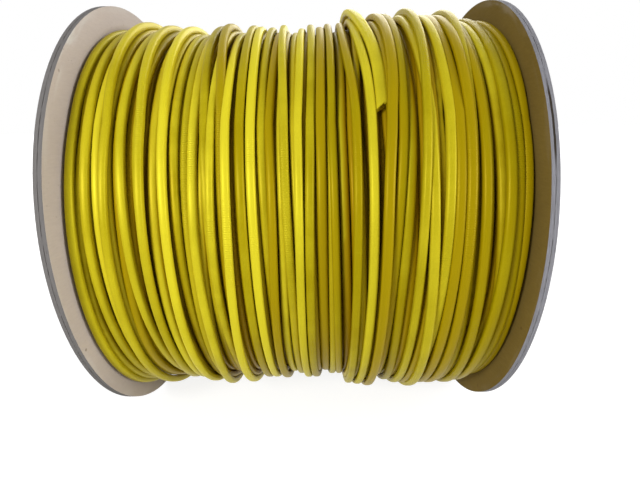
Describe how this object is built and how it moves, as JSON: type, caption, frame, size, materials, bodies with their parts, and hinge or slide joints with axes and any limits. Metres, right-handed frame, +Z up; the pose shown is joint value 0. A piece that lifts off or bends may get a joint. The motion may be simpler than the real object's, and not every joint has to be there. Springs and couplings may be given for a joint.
{
  "type": "wire spool",
  "caption": "Board-flanged spool of yellow insulated wire: round laminated flanges on a paper core tube, plug hubs with a spindle bore, tie bolts and a full winding with a cut end.",
  "frame": {"origin": "middle of the spindle bore, half way between the flanges", "axes": "+X along the spindle bore, +Z up with the spool standing on its two rims, -Y towards the side with the wire's cut end"},
  "size_m": [0.181, 0.2, 0.2],
  "materials": {
    "board": "matt laminated grey board",
    "tube_paper": "matt wound paper",
    "hub_plastic": "moulded black plastic",
    "steel": "zinc plated",
    "wire_insulation": "satin insulation",
    "conductor": "bare copper"
  },
  "bodies": {
    "root": {"left_flange_inner_ply": "board", "left_flange_outer_ply": "board", "right_flange_inner_ply": "board", "right_flange_outer_ply": "board", "core_tube": "tube_paper", "left_hub": "hub_plastic", "right_hub": "hub_plastic", "tie_bolts": "steel", "tie_nuts": "steel", "bolt_washers": "steel", "inner_layers": "wire_insulation", "outer_layer": "wire_insulation", "wire_conductor": "conductor"}
  },
  "joints": []
}
